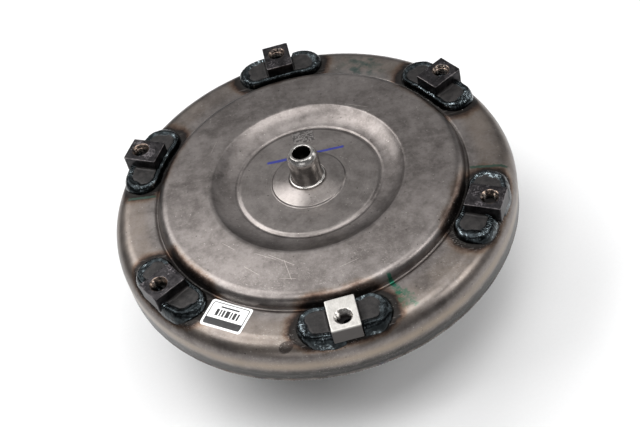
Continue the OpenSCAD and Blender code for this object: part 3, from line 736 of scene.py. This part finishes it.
def make_damper_springs(material):
    """Wound springs with closed, ground ends, one in each damper window."""
    low, high = box_mm("damper_springs")
    wire, coil_r, length, place_r = 1.3, 5.2, 58, 88.2
    z = (low.z + high.z) / 2
    turns, around, sides = 13, 28, 10
    steps = turns * around
    t = np.arange(steps + 1) / around
    closed = 1.6
    rise = np.interp(t, [0, closed, turns - closed, turns],
                     [0, closed * 2 * wire, length - 2 * wire - closed * 2 * wire, length - 2 * wire])
    along = rise + wire - length / 2
    centre = np.stack([coil_r * np.cos(2 * pi * t), along, coil_r * np.sin(2 * pi * t)], -1)
    forward = np.gradient(centre, axis=0)
    forward /= np.linalg.norm(forward, axis=1, keepdims=True)
    out = np.stack([np.cos(2 * pi * t), np.zeros_like(t), np.sin(2 * pi * t)], -1)
    side = np.cross(forward, out)
    a = np.arange(sides) * 2 * pi / sides
    tube = (centre[:, None] + wire * (np.cos(a)[None, :, None] * out[:, None]
                                      + np.sin(a)[None, :, None] * side[:, None]))
    tube[..., 1] = np.clip(tube[..., 1], -length / 2, length / 2)
    tube = tube.reshape(-1, 3)
    points, faces = [], []
    for k in range(LUG_COUNT):
        turn = 2 * pi * k / LUG_COUNT
        start = len(points)
        points += turned(tube[:, 0] + place_r, tube[:, 1], tube[:, 2] + z, turn).tolist()
        faces += [[start + v for v in f] for f in grid_faces(steps + 1, sides)]
        faces += [[start + v for v in range(sides)], [start + steps * sides + v for v in range(sides)]]
    add_piece("damper_springs_wound", points, faces, material, slot="spring_steel",
              body=frame["nodes"]["damper_springs"]["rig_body"], replaces=["damper_springs"], crease=50)


# ---- Label ----

def rounded(w, h, corner):
    """Outline of a rounded rectangle round the origin."""
    points = []
    for k, (x, y) in enumerate(((1, 1), (-1, 1), (-1, -1), (1, -1))):
        points += arc((x * (w / 2 - corner), y * (h / 2 - corner)), corner, 90 * k, 90 * k + 90, 6)
    return points


LABEL_AT, LABEL_TURN = polar(127.2, -127.4), -36
LABEL_W, LABEL_H = 32, 22


def on_label(points, lift):
    """Points of the label's plane laid on the cover, lift above it."""
    c, s = cos(radians(LABEL_TURN)), sin(radians(LABEL_TURN))
    laid = []
    for x, y in points:
        px, py = LABEL_AT[0] + x * c - y * s, LABEL_AT[1] + x * s + y * c
        laid.append((px, py, cover_height(hypot(px, py)) + lift))
    return laid


def sheet_piece(name, outline, lift, thickness, material, rows=14, hole=None):
    """A thin printed or cut layer on the label: a filled outline, or a frame where hole is given."""
    outline = np.array(outline)
    n = len(outline)
    target = outline.mean(0) if hole is None else np.array(hole)
    plan = [outline * (1 - k / rows) + target * (k / rows) for k in range(rows)]
    if hole is not None:
        plan.append(target)
    plan = np.concatenate(plan)
    top = on_label(plan, lift)
    low = on_label(plan, lift - thickness)
    count = len(plan) // n
    points = top + low
    faces = grid_faces(count, n)
    faces += [[v + len(plan) for v in f[::-1]] for f in grid_faces(count, n)]
    faces += [(j, len(plan) + j, len(plan) + (j + 1) % n, (j + 1) % n) for j in range(n)]
    end = (count - 1) * n
    if hole is not None:
        faces += [(end + j, end + (j + 1) % n, len(plan) + end + (j + 1) % n, len(plan) + end + j)
                  for j in range(n)]
    else:
        for base, height in ((end, lift), (end + len(plan), lift - thickness)):
            points.append(on_label([target], height)[0])
            faces += [(base + j, base + (j + 1) % n, len(points) - 1) for j in range(n)]
    add_piece(name, points, faces, material, crease=60)


def fine(outline):
    """The outline with a point about every millimetre, so that it follows a curved surface."""
    points = []
    for (x0, y0), (x1, y1) in zip(outline, outline[1:] + outline[:1]):
        n = max(1, int(hypot(x1 - x0, y1 - y0)))
        points += [(x0 + (x1 - x0) * k / n, y0 + (y1 - y0) * k / n) for k in range(n)]
    return points


def box_at(x, y, w, h):
    """Corners of a rectangle round x, y."""
    return [(x - w / 2, y - h / 2), (x + w / 2, y - h / 2), (x + w / 2, y + h / 2), (x - w / 2, y + h / 2)]


def make_label(paper, ink):
    """A white sticker with a border, a dark band and plain bars, and no words."""
    def printed(name, outline, **more):
        sheet_piece(name, fine(outline), 0.185, 0.03, ink, **more)

    sheet_piece("label_paper", fine(rounded(LABEL_W, LABEL_H, 2.2)), 0.16, 0.12, paper)
    w, h = LABEL_W - 3.2, LABEL_H - 3.2
    printed("label_border", rounded(w, h, 2.0), rows=2, hole=fine(rounded(w - 1.3, h - 1.3, 1.4)))
    band_h = 5.4
    printed("label_band", box_at(0, (band_h - h) / 2 + 0.2, w - 0.7, band_h), rows=8)
    widths, space = (2.2, 1.1, 1.6, 3.0, 1.1, 2.2, 1.4), 0.9
    x = -(sum(widths) + space * (len(widths) - 1)) / 2
    for k, bar in enumerate(widths):
        printed(f"label_bar_{k + 1}", box_at(x + bar / 2, 1.3, bar, 5.6), rows=3)
        x += bar + space
    printed("label_rule", box_at(0, 6.2, w * 0.5, 1.3), rows=3)


# ---- Floor ----

def make_floor(material):
    mesh = bpy.data.meshes.new("floor")
    corners = [(x, y, 0) for x, y in box_at(0, 0, 6.0, 6.0)]
    mesh.from_pydata(corners, [], [(0, 1, 2, 3)])
    mesh.materials.append(material)
    new_object("floor", mesh)


# ---- Materials ----

STEEL_DARK = (0.122, 0.108, 0.102)
STEEL_LIGHT = (0.232, 0.210, 0.200)


def pad_distance(r, a):
    """Distance from the outline of the nearest lug pad."""
    step = 2 * pi / LUG_COUNT
    folded = (a - radians(90 - 180 / LUG_COUNT)).math("FLOORED_MODULO", step) - step / 2
    spine = folded.math("MINIMUM", PAD_REACH).math("MAXIMUM", -PAD_REACH)
    dx = r * folded.math("COSINE") - spine.math("COSINE") * PAD_R
    dy = r * folded.math("SINE") - spine.math("SINE") * PAD_R
    return (dx * dx + dy * dy).math("SQRT") - PAD_HALF


def stroke(paint, start, end, width, ragged=0.5):
    """A brushed line between two points of the plan, 1 inside it."""
    (x0, y0), (x1, y1) = start, end
    length = hypot(x1 - x0, y1 - y0)
    ux, uy = (x1 - x0) / length, (y1 - y0) / length
    dx, dy = paint.x - x0, paint.y - y0
    along = dx * ux + dy * uy
    across = (dx * uy - dy * ux).math("ABSOLUTE")
    rough = (paint.noise(width * 1.2, 4.0, rough=0.7) - 0.5) * (2 * ragged * width)
    side = (across + rough).smooth(width * 0.42, width * 0.58, 1, 0)
    along = along + rough
    return side * along.smooth(-0.6, 0.8) * along.smooth(length - 0.8, length + 0.6, 1, 0)


def heat_tint(p, colour, heat):
    """Soot by the pads, then dark brown, fading to straw away from them."""
    tint = p.ramp(heat.smooth(-1, 15), [
        (0.0, (0.006, 0.005, 0.004)), (0.22, (0.010, 0.007, 0.006)), (0.40, (0.046, 0.022, 0.012)),
        (0.60, (0.110, 0.060, 0.032)), (0.80, (0.130, 0.100, 0.070)), (1.0, (0.14, 0.125, 0.11))])
    return p.blend(heat.smooth(3.0, 13, 0.97, 0), colour, tint)


def cover_marks(p, colour, r, a):
    """A teal wash, a green stripe, pen lines and an oil spot. Also gives the mask of the pen lines."""
    teal = r.smooth(116, 120) * r.smooth(136, 139, 1, 0) * a.near(radians(60), radians(13))
    colour = p.mark(colour, teal * p.noise(6, 3.0).smooth(0.35, 0.7), (0.010, 0.060, 0.052), 0.7)
    wash = p.noise(3.0, 4.0, rough=0.7, warp=0.8).smooth(0.36, 0.66)
    green = (0.010, 0.115, 0.070)
    colour = p.mark(colour, stroke(p, polar(111.5, -71.0), polar(120, -71.2), 3.0), green, 0.85)
    colour = p.mark(colour, stroke(p, polar(116, -70.8), polar(130, -71.6), 5.0, 0.8) * wash, green, 0.8)
    colour = p.mark(colour, stroke(p, polar(124, -70.6), polar(139, -71.2), 9.0, 0.8) * wash, green, 0.6)
    pen = stroke(p, polar(117, -12.3), polar(144, -12.8), 2.4, 0.45).math(
        "MAXIMUM", stroke(p, polar(117, 166), polar(139, 166.5), 2.2, 0.45))
    colour = p.mark(colour, pen, (0.006, 0.030, 0.018))
    blue = stroke(p, (-27, 27.2), (-12, 26.0), 2.5, 0.25).math(
        "MAXIMUM", stroke(p, (-6, 26.3), (31.5, 24.4), 2.2, 0.25))
    colour = p.mark(colour, blue, (0.010, 0.020, 0.22))
    dx, dy = (value - centre for value, centre in zip((p.x, p.y), polar(143.5, -107)))
    spot = (dx * dx * 0.035 + dy * dy * 0.09).smooth(0.75, 1.15, 1, 0)
    return p.mark(colour, spot, (0.035, 0.028, 0.026), 0.8), blue.math("MAXIMUM", pen)


def etched_square(p, colour):
    """A pale square of random dark cells beside the dish."""
    cx, cy = polar(45.7, 85)
    inside = (p.x - cx).near(0, 9.2).smooth(0.02, 0.06) * (p.y - cy).near(0, 7.4).smooth(0.02, 0.06)
    cell = p.random_cells(1.05, p.vector(p.x, p.y, 0.0)).smooth(0.45, 0.55)
    colour = p.mark(colour, inside, (0.34, 0.32, 0.31), 0.6)
    return p.mark(colour, inside * cell, (0.050, 0.045, 0.043), 0.7)


def scratches(p):
    """Thin straight scratches, 1 inside them."""
    mask = None
    for x, y, turn, length, width in (
            (-48, -62, -38, 16, 0.26), (-40, -66, -42, 22, 0.30), (-30, -74, -84, 18, 0.26),
            (-58, -70, -50, 14, 0.24), (-36, -88, -20, 12, 0.22), (6, -92, 12, 14, 0.24),
            (-70, -44, -50, 12, 0.22), (44, 60, -30, 14, 0.22), (-66, 48, 62, 12, 0.22)):
        dx, dy = polar(length, turn)
        line = stroke(p, (x, y), (x + dx, y + dy), width, 0.25)
        mask = line if mask is None else mask.math("MAXIMUM", line)
    return mask


def cover_steel():
    p = Paint("stamped_steel")
    r, a = p.radius(), p.angle()
    blotch = p.noise(38, 4.0, rough=0.6, warp=0.6)
    smudge = p.noise(9, 4.0, rough=0.65)
    grain = p.noise(0.9, 3.0)
    colour = p.blend((blotch * 0.7 + smudge * 0.6 - 0.15).smooth(0.28, 0.72), STEEL_DARK, STEEL_LIGHT)
    mottle = p.noise(2.4, 4.0, rough=0.7)
    colour = p.mark(colour, mottle.smooth(0.52, 0.72), (0.30, 0.28, 0.26), 0.35)
    colour = p.mark(colour, mottle.smooth(0.46, 0.30), (0.07, 0.062, 0.056), 0.35)

    # Turned rings and a brighter floor round the pilot
    rings = p.noise(1.0, 2.0, at=p.vector(r * 2.2, 0.0, 0.0))
    centre = r.smooth(50, 54, 1, 0)
    colour = p.blend(centre * rings.smooth(0.3, 0.8, 0, 0.35), colour, (0.33, 0.31, 0.29))

    # Tan lug ring, painted groove shade, a straw band that is also a painted highlight, painted skirt shade
    # below it
    tan = r.smooth(119, 128) * r.smooth(146, 150, 1, 0)
    colour = p.blend(tan * blotch.smooth(0.3, 0.7, 0.1, 0.4), colour, (0.20, 0.155, 0.115))
    # Painted shade: a dark ring all round the groove, where shade falls
    colour = p.mark(colour, r.near(115.2, 1.9), (0.02, 0.015, 0.012), 0.55)
    # Painted shade: the skirt below the rim is painted dark, for the dark surroundings it reflects
    wall_shade = (p.z + smudge * 3).smooth(RIM[1] - 9.5, RIM[1] - 4, 1, 0)
    # Straw heat tint, lightened into a painted highlight along the rim's rounding
    straw = p.z.near(RIM[1] - 2, 7.0) * p.noise(30, 3.0).smooth(0.2, 0.5, 0.4, 1.0)
    colour = p.mark(colour, straw, (0.300, 0.245, 0.190), 0.75)
    colour = p.mark(colour, wall_shade, p.blend(smudge, (0.014, 0.014, 0.013), (0.040, 0.038, 0.034)), 0.92)

    wander = (p.noise(9, 3.0) - 0.5) * 6 + (p.noise(2.2, 3.0) - 0.5) * 2.5
    drop = (RING_Z - 1.5 - p.z).math("MAXIMUM", 0.0)
    heat = pad_distance(r, a) + wander + drop * 1.3
    colour = heat_tint(p, colour, heat)
    colour, ink = cover_marks(p, colour, r, a)
    colour = etched_square(p, colour)
    scratch = scratches(p)
    colour = p.mark(colour, scratch, (0.50, 0.46, 0.42), 0.6)

    # Bright specks, dark pits, drawn lines and a rubbed patch on the front of the plateau
    specks = p.cells(4.0).smooth(0.06, 0.13, 1, 0) * p.noise(14, 2.0).smooth(0.48, 0.60) * (1 - wall_shade)
    colour = p.mark(colour, specks, (0.48, 0.45, 0.42), 0.55)
    pits = p.cells(6.5, at=p.vector(p.x + 31, p.y, p.z)).smooth(0.05, 0.12, 1, 0)
    colour = p.mark(colour, pits * p.noise(19, 2.0).smooth(0.45, 0.6), (0.03, 0.026, 0.024), 0.7)
    drawn = p.noise(0.8, 2.0, at=p.vector(p.x * 0.06, p.y * 1.0, p.z)).smooth(0.62, 0.72)
    colour = p.mark(colour, drawn * r.smooth(54, 60), STEEL_LIGHT, 0.35)
    rubbed = p.noise(1.1, 4.0, at=p.vector(p.x * 0.5 - p.y * 0.35, p.x * 0.8 + p.y * 0.9, p.z), rough=0.8)
    front = p.y.smooth(-45, -85) * r.smooth(76, 82) * p.noise(24, 2.0).smooth(0.42, 0.6)
    colour = p.mark(colour, rubbed.smooth(0.56, 0.68) * front, (0.46, 0.43, 0.40), 0.6)

    p.bump(grain, 0.012)
    p.bump(p.noise(26, 3.0), 0.10)
    p.bump(p.noise(3.2, 4.0), 0.02)
    p.bump(rings * centre, 0.02)
    p.bump(scratch * -1, 0.03)
    soot = heat.smooth(0, 8, 1, 0)
    roughness = smudge * 0.14 + blotch * 0.10 + 0.20 + grain * 0.05 + soot * 0.15 - centre * 0.04
    return p.done(colour, roughness, (soot * 0.45 + ink * 0.6).smooth(0, 1, 1, 0.1))


def machined_steel():
    p = Paint("machined_steel")
    r = p.radius()
    lathe = p.noise(1.0, 3.0, at=p.vector(r * 3.5, p.z * 3.5, 0.0))
    stain = p.noise(6, 4.0)
    colour = p.blend((lathe * 0.7 + stain * 0.5).smooth(0.3, 0.95), (0.24, 0.225, 0.21), (0.56, 0.54, 0.52))
    # Painted shade: the top of the pilot's hole is painted near black
    hole_shade = r.smooth(6.4, 7.0, 1, 0) * p.z.smooth(PILOT_TOP - 3, PILOT_TOP - 0.6, 1, 0)
    colour = p.blend(hole_shade * 0.93, colour, (0.012, 0.010, 0.009))
    p.bump(lathe, 0.018)
    p.bump(p.noise(0.6, 2.0), 0.005)
    roughness = stain * 0.14 + lathe * 0.08 + 0.12
    return p.done(colour, roughness, Metallic=1.0)


def block_light():
    p = Paint("lug_bare_steel")
    grain = p.noise(0.7, 3.0, at=p.vector(p.x, p.y * 0.35, p.z))
    stain = p.noise(5, 4.0)
    wear = p.attribute("wear")
    # Painted shade: below the top edge the block's sides are painted dark
    side = p.z.smooth(LUG_Z - 0.8, LUG_Z - 0.2, 1, 0)
    cloud = (grain * 0.5 + stain * 0.6).smooth(0.25, 0.85)
    colour = p.blend(cloud, (0.40, 0.385, 0.36), (0.62, 0.60, 0.57))
    colour = p.blend(side * 0.92, colour, (0.040, 0.035, 0.034))
    colour = p.blend(wear * 0.5, colour, (0.72, 0.70, 0.66))
    p.bump(grain, 0.02)
    p.bump(stain, 0.03)
    return p.done(colour, grain * 0.14 + stain * 0.14 + 0.30, Metallic=0.9)


def block_dark():
    p = Paint("lug_steel")
    grain, stain = p.noise(0.8, 3.0), p.noise(4.5, 4.0, rough=0.65)
    wear = p.attribute("wear")
    top = p.z.smooth(LUG_Z - 0.5, LUG_Z - 0.1)
    colour = p.blend(stain.smooth(0.3, 0.75), (0.014, 0.013, 0.014), (0.050, 0.046, 0.048))
    scuff = (p.noise(1.6, 4.0, rough=0.75) + (p.noise(14, 2.0) - 0.5) * 0.8).smooth(0.57, 0.72)
    colour = p.blend(scuff * top * 0.8, colour, (0.22, 0.20, 0.21))
    colour = p.blend((wear + (stain - 0.5) * 1.6).smooth(0.6, 1.0) * 0.6, colour, (0.24, 0.22, 0.22))
    p.bump(grain, 0.03)
    p.bump(stain, 0.10)
    return p.done(colour, stain * 0.25 + grain * 0.1 + 0.22, Metallic=0.95)


def thread_steel(name, dark, light, depth, shade, rough):
    """The stained thread of a tapped hole, shaded from that depth down."""
    p = Paint(name)
    stain = p.noise(3.0, 3.0)
    colour = p.blend(stain.smooth(0.35, 0.7), dark, light)
    colour = p.blend(p.z.smooth(LUG_Z - depth, LUG_Z - 1.5, 1, 0), colour, shade)
    p.bump(p.noise(0.5, 2.0), 0.02)
    return p.done(colour, stain * 0.2 + rough, Metallic=1.0)


def weld_scale():
    p = Paint("weld_scale")
    bead = p.attribute("bead")
    mottle, grain = p.noise(5, 4.0, rough=0.65), p.noise(0.9, 3.0)
    plate = p.blend(mottle.smooth(0.3, 0.7), (0.014, 0.013, 0.013), (0.034, 0.031, 0.030))
    slag = p.blend(mottle.smooth(0.4, 0.7), (0.010, 0.012, 0.013), (0.040, 0.048, 0.052))
    # Painted glints: bright bluish patches in the slag, standing in for highlights
    painted_glints = p.noise(12, 3.0).smooth(0.50, 0.60)
    slag = p.blend(painted_glints * p.noise(1.6, 3.0, rough=0.7).smooth(0.48, 0.62), slag, (0.20, 0.235, 0.25))
    colour = p.blend(bead, plate, slag)
    p.bump(grain, 0.03)
    p.bump(p.noise(3.5, 3.0) * bead, 0.40)
    roughness = bead * (mottle * 0.16 - 0.36) + grain * 0.12 + 0.42
    return p.done(colour, roughness, bead.smooth(0, 1, 0.4, 1.0), Specular_IOR_Level=0.3)


def weld_steel():
    p = Paint("weld_steel")
    mottle, grain = p.noise(7, 4.0), p.noise(1.0, 3.0)
    colour = p.blend(mottle.smooth(0.3, 0.7), (0.055, 0.048, 0.044), (0.17, 0.155, 0.145))
    tint = p.blend(p.noise(16, 2.0).smooth(0.4, 0.6), (0.11, 0.06, 0.035), (0.06, 0.07, 0.10))
    colour = p.blend(p.noise(11, 3.0).smooth(0.5, 0.7) * 0.5, colour, tint)
    p.bump(grain, 0.03)
    return p.done(colour, mottle * 0.2 + grain * 0.1 + 0.24, Metallic=0.95)


def shell_steel():
    p = Paint("shell_steel")
    r = p.radius()
    blotch, smudge, grain = p.noise(34, 4.0, warp=0.5), p.noise(7, 4.0, rough=0.65), p.noise(0.9, 3.0)
    cloud = (blotch * 0.8 + smudge * 0.4).smooth(0.35, 0.85)
    colour = p.blend(cloud, (0.10, 0.092, 0.085), (0.22, 0.205, 0.19))
    drawn = p.noise(1.0, 2.0, at=p.vector(p.angle() * 60, r * 0.05, p.z * 0.05)).smooth(0.6, 0.75)
    colour = p.blend(drawn * 0.3, colour, (0.30, 0.28, 0.26))
    heat = p.z.smooth(SKIRT_Z - 22, SKIRT_Z - 4) * (blotch + 0.3)
    colour = p.blend(heat.smooth(0.2, 1.0) * 0.75, colour, (0.085, 0.048, 0.030))
    neck = r.smooth(25, 46, 1, 0)
    colour = p.blend(neck * 0.6, colour, (0.07, 0.055, 0.06))
    p.bump(grain, 0.012)
    p.bump(smudge, 0.04)
    p.bump(blotch, 0.10)
    return p.done(colour, smudge * 0.18 + blotch * 0.12 + 0.26, Metallic=1.0)


def plain_steel(name, dark, light, size, rough, depth=0.02, warm=None):
    """Metal with clouds of light and dark, fine grain and, where warm is given, soft stains of it."""
    p = Paint(name)
    cloud, grain = p.noise(size, 4.0, rough=0.6), p.noise(size / 12, 3.0)
    colour = p.blend((cloud * 0.8 + grain * 0.35).smooth(0.3, 0.85), dark, light)
    if warm:
        colour = p.blend(p.noise(size * 1.7, 3.0).smooth(0.52, 0.68) * 0.5, colour, warm)
    p.bump(grain, depth)
    p.bump(cloud, depth * 3)
    return p.done(colour, cloud * 0.2 + grain * 0.1 + rough - 0.15, Metallic=1.0)


def friction_paper():
    p = Paint("friction_paper")
    fibre = p.noise(0.7, 4.0, at=p.vector(p.x * 0.4, p.y, p.z), rough=0.7)
    cloud = (fibre * 0.7 + p.noise(12, 3.0) * 0.5).smooth(0.35, 0.85)
    colour = p.blend(cloud, (0.075, 0.045, 0.025), (0.21, 0.14, 0.085))
    p.bump(fibre, 0.08)
    return p.done(colour, fibre * 0.1 + 0.8)


def seal_rubber():
    p = Paint("seal_rubber")
    grain = p.noise(0.6, 3.0)
    colour = p.blend(grain, (0.010, 0.010, 0.011), (0.032, 0.031, 0.030))
    p.bump(grain, 0.02)
    return p.done(colour, p.noise(5, 3.0) * 0.25 + 0.42)


def cast_aluminium():
    p = Paint("stator_aluminium")
    pits, cloud = p.noise(0.8, 4.0, rough=0.7), p.noise(14, 4.0)
    colour = p.blend((pits * 0.5 + cloud * 0.6).smooth(0.3, 0.8), (0.40, 0.40, 0.40), (0.66, 0.66, 0.65))
    p.bump(pits, 0.06)
    return p.done(colour, pits * 0.25 + 0.34, Metallic=1.0)


def cap_plastic():
    p = Paint("cap_plastic")
    flow, grain = p.noise(22, 3.0, warp=1.2), p.noise(0.5, 2.0)
    colour = p.blend(flow.smooth(0.3, 0.7), (0.32, 0.24, 0.14), (0.42, 0.33, 0.21))
    p.bump(grain, 0.02)
    return p.done(colour, grain * 0.15 + 0.38)


def label_paper():
    p = Paint("label_paper")
    fibre, dust = p.noise(0.5, 3.0), p.noise(7, 4.0, rough=0.7)
    colour = p.blend(dust.smooth(0.45, 0.8), (0.90, 0.90, 0.89), (0.76, 0.75, 0.73))
    p.bump(fibre, 0.01)
    return p.done(colour, fibre * 0.1 + 0.38)


def label_ink():
    p = Paint("label_ink")
    speck, patch = p.noise(0.4, 3.0), p.noise(4, 3.0)
    worn = (speck * 0.5 + patch * 0.5).smooth(0.5, 0.7)
    colour = p.blend(worn, (0.012, 0.012, 0.013), (0.045, 0.043, 0.042))
    p.bump(speck, 0.005)
    return p.done(colour, patch * 0.2 + 0.32)


def floor_paint():
    p = Paint("studio_floor")
    cloud, grain = p.noise(220, 3.0), p.noise(2.5, 3.0)
    colour = p.blend((cloud * 0.8 + grain * 0.2).smooth(0.3, 0.8), (0.80, 0.80, 0.80), (0.86, 0.86, 0.86))
    p.bump(grain, 0.02)
    return p.done(colour, cloud * 0.1 + 0.6)


# ---- The scene ----

make_camera()
make_studio()
make_floor(floor_paint())

MATERIALS = {
    "stamped_steel": cover_steel(),
    "machined_steel": machined_steel(),
    "lug_steel": block_dark(),
    "weld_scale": weld_scale(),
    "weld_steel": weld_steel(),
    "shell_steel": shell_steel(),
    "friction_paper": friction_paper(),
    "seal_rubber": seal_rubber(),
    "stator_aluminium": cast_aluminium(),
    "cap_plastic": cap_plastic(),
}
for slot, *look in (
        ("sheet_steel", (0.20, 0.19, 0.18), (0.38, 0.365, 0.35), 16, 0.38, 0.02, (0.24, 0.17, 0.10)),
        ("rivet_steel", (0.26, 0.25, 0.24), (0.50, 0.49, 0.47), 4, 0.32),
        ("spring_steel", (0.10, 0.075, 0.055), (0.26, 0.19, 0.13), 6, 0.36, 0.02, (0.12, 0.13, 0.20)),
        ("bearing_steel", (0.42, 0.42, 0.42), (0.66, 0.66, 0.65), 5, 0.24, 0.006),
        ("cage_steel", (0.24, 0.18, 0.09), (0.44, 0.34, 0.18), 6, 0.34)):
    MATERIALS[slot] = plain_steel(slot, *look)

make_cover(MATERIALS["stamped_steel"])
make_pilot(MATERIALS["machined_steel"])
bare_faces = [block_light(), thread_steel(
    "thread_bare_steel", (0.34, 0.32, 0.30), (0.55, 0.53, 0.50), 7, (0.03, 0.027, 0.025), 0.16)]
dark_faces = [MATERIALS["lug_steel"], thread_steel(
    "thread_steel", (0.045, 0.040, 0.037), (0.27, 0.205, 0.165), 6, (0.012, 0.011, 0.010), 0.10)]
for i in range(1, LUG_COUNT + 1):
    make_block(i, bare_faces if i == BARE_LUG else dark_faces)
    make_pad(i, MATERIALS["weld_scale"])
make_impeller_shell(MATERIALS["shell_steel"])
make_welds(MATERIALS["weld_steel"])
make_damper_springs(MATERIALS["spring_steel"])
make_label(label_paper(), label_ink())

slots = {part["node"]: part["material_slot"] for part in frame["record"]["subparts"]}
for name, node in frame["nodes"].items():
    node.data.materials.clear()
    node.data.materials.append(MATERIALS[slots[name]])
